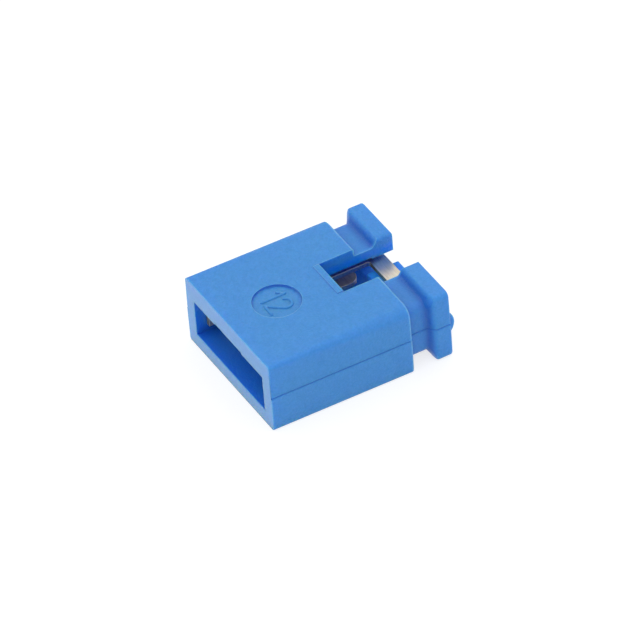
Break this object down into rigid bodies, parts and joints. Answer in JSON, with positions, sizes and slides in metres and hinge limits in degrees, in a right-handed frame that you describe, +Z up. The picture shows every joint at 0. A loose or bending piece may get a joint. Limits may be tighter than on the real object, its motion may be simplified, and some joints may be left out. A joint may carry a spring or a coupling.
{
  "type": "jumper shunt",
  "caption": "Open-top jumper shunt: a flat moulded housing with a split grip holds a folded metal contact that bridges neighbouring square header pins.",
  "frame": {"origin": "under the middle of the shunt's box, on its lower broad face", "axes": "+Y is the way the pins travel in, from the mouth to the split grip; +Z is up, out of the broad face with the test slot; +X runs across the pins, towards the side with the gate stub"},
  "size_m": [0.0052, 0.0062, 0.0024],
  "materials": {
    "housing_plastic": "moulded, fine grain, slightly translucent",
    "contact_metal": "stamped strip, pale gold plating"
  },
  "bodies": {
    "root": {"housing": "housing_plastic", "contact": "contact_metal"}
  },
  "joints": []
}
